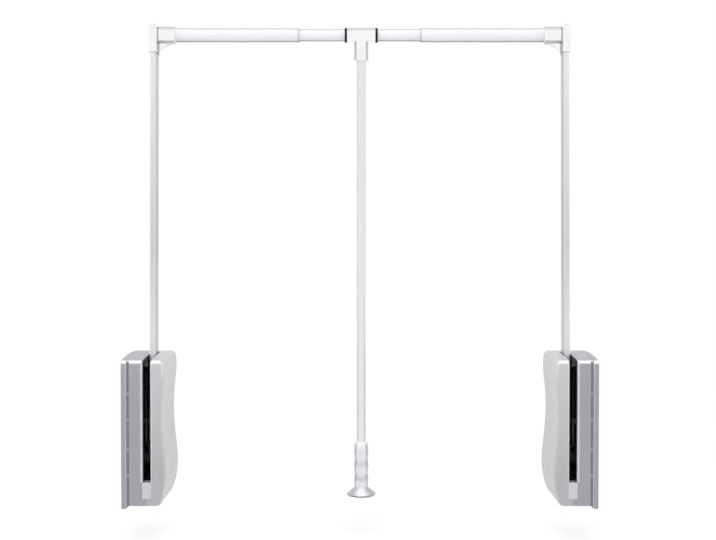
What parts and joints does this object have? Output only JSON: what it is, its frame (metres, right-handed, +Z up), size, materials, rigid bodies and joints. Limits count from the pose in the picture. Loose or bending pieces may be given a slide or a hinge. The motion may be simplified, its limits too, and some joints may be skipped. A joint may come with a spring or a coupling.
{
  "type": "pull down closet rod",
  "caption": "Wall-mounted wardrobe lift: a telescopic hanging rail on swinging arms with geared gas struts in moulded side housings and a pull pole with a hand grip.",
  "frame": {"origin": "below the centre of the object, midway between the two wall faces and midway in the housings' depth, level with the foot of the base trays", "axes": "+X towards the right wall, +Y towards the back of the wardrobe, +Z up"},
  "size_m": [0.815, 0.145, 0.8395],
  "materials": {
    "housing_plastic": "moulded grey plastic, fine satin texture",
    "bumper_plastic": "light grey moulded plastic",
    "black_nylon": "black moulded nylon",
    "zinc_steel": "zinc plated steel",
    "strut_black": "black painted strut",
    "arm_silver": "satin silver anodised",
    "cast_alloy": "polished die-cast alloy",
    "rail_silver": "silver anodised tube",
    "grip_plastic": "metallic grey moulded plastic"
  },
  "bodies": {
    "left_housing": {"left_base_tray": "housing_plastic", "left_cover": "housing_plastic", "left_chassis": "zinc_steel", "left_chassis_rivets": "zinc_steel", "left_bumper": "bumper_plastic", "left_stop_pad": "black_nylon", "left_pivot_pin": "zinc_steel", "left_pivot_circlip": "zinc_steel", "left_pivot_spacers": "black_nylon", "left_rack_guide": "black_nylon", "left_strut_cylinder": "strut_black", "left_strut_anchor": "zinc_steel"},
    "left_rack_slide": {"left_rack": "zinc_steel", "left_strut_rod": "zinc_steel"},
    "left_arm": {"left_arm_hub": "cast_alloy", "left_hub_bushes": "black_nylon", "left_arm_rivets": "zinc_steel", "left_arm_tube": "arm_silver", "left_corner_connector": "cast_alloy", "left_connector_screw": "zinc_steel", "left_outer_tube": "rail_silver", "left_bar_plug": "black_nylon"},
    "right_housing": {"right_base_tray": "housing_plastic", "right_cover": "housing_plastic", "right_chassis": "zinc_steel", "right_chassis_rivets": "zinc_steel", "right_bumper": "bumper_plastic", "right_stop_pad": "black_nylon", "right_pivot_pin": "zinc_steel", "right_pivot_circlip": "zinc_steel", "right_pivot_spacers": "black_nylon", "right_rack_guide": "black_nylon", "right_strut_cylinder": "strut_black", "right_strut_anchor": "zinc_steel"},
    "right_rack_slide": {"right_rack": "zinc_steel", "right_strut_rod": "zinc_steel"},
    "right_arm": {"right_arm_hub": "cast_alloy", "right_hub_bushes": "black_nylon", "right_arm_rivets": "zinc_steel", "right_arm_tube": "arm_silver", "right_corner_connector": "cast_alloy", "right_connector_screw": "zinc_steel", "right_outer_tube": "rail_silver", "right_bar_plug": "black_nylon"},
    "centre_bar": {"inner_tube": "rail_silver", "inner_tube_glides": "black_nylon"},
    "handle": {"tee_connector": "cast_alloy", "tee_bushings": "black_nylon", "tee_screw": "zinc_steel", "pole": "rail_silver", "grip": "grip_plastic", "grip_base": "grip_plastic"}
  },
  "joints": [
    {"name": "lift", "type": "hinge", "parent": "left_housing", "child": "left_arm", "pos_m": [-0.364, -0.0015, 0.074], "axis": [1, 0, 0], "range_deg": [0, 100], "stiffness_Nm_per_rad": 4, "springref_deg": -57.3},
    {"name": "width_adjust", "type": "slide", "parent": "left_housing", "child": "right_housing", "axis": [1, 0, 0], "range_m": [-0.148, 0.074]},
    {"name": "right_lift", "type": "hinge", "parent": "right_housing", "child": "right_arm", "pos_m": [0.364, -0.0015, 0.074], "axis": [1, 0, 0], "range_deg": [0, 100]},
    {"name": "rail_centring", "type": "slide", "parent": "left_arm", "child": "centre_bar", "axis": [1, 0, 0], "range_m": [-0.074, 0.037]},
    {"name": "pole_swing", "type": "hinge", "parent": "centre_bar", "child": "handle", "pos_m": [0.0025, 0.02463, 0.82234], "axis": [1, 0, 0], "continuous": true},
    {"name": "left_rack_travel", "type": "slide", "parent": "left_housing", "child": "left_rack_slide", "axis": [0, 0, 1], "range_m": [0, 0.0437]},
    {"name": "right_rack_travel", "type": "slide", "parent": "right_housing", "child": "right_rack_slide", "axis": [0, 0, 1], "range_m": [0, 0.0437]}
  ],
  "couplings": [
    {"joint": "right_lift", "follows": "lift", "ratio": 1},
    {"joint": "left_rack_travel", "follows": "lift", "m_per_rad": 0.025},
    {"joint": "right_rack_travel", "follows": "lift", "m_per_rad": 0.025},
    {"joint": "rail_centring", "follows": "width_adjust", "ratio": 0.5}
  ]
}
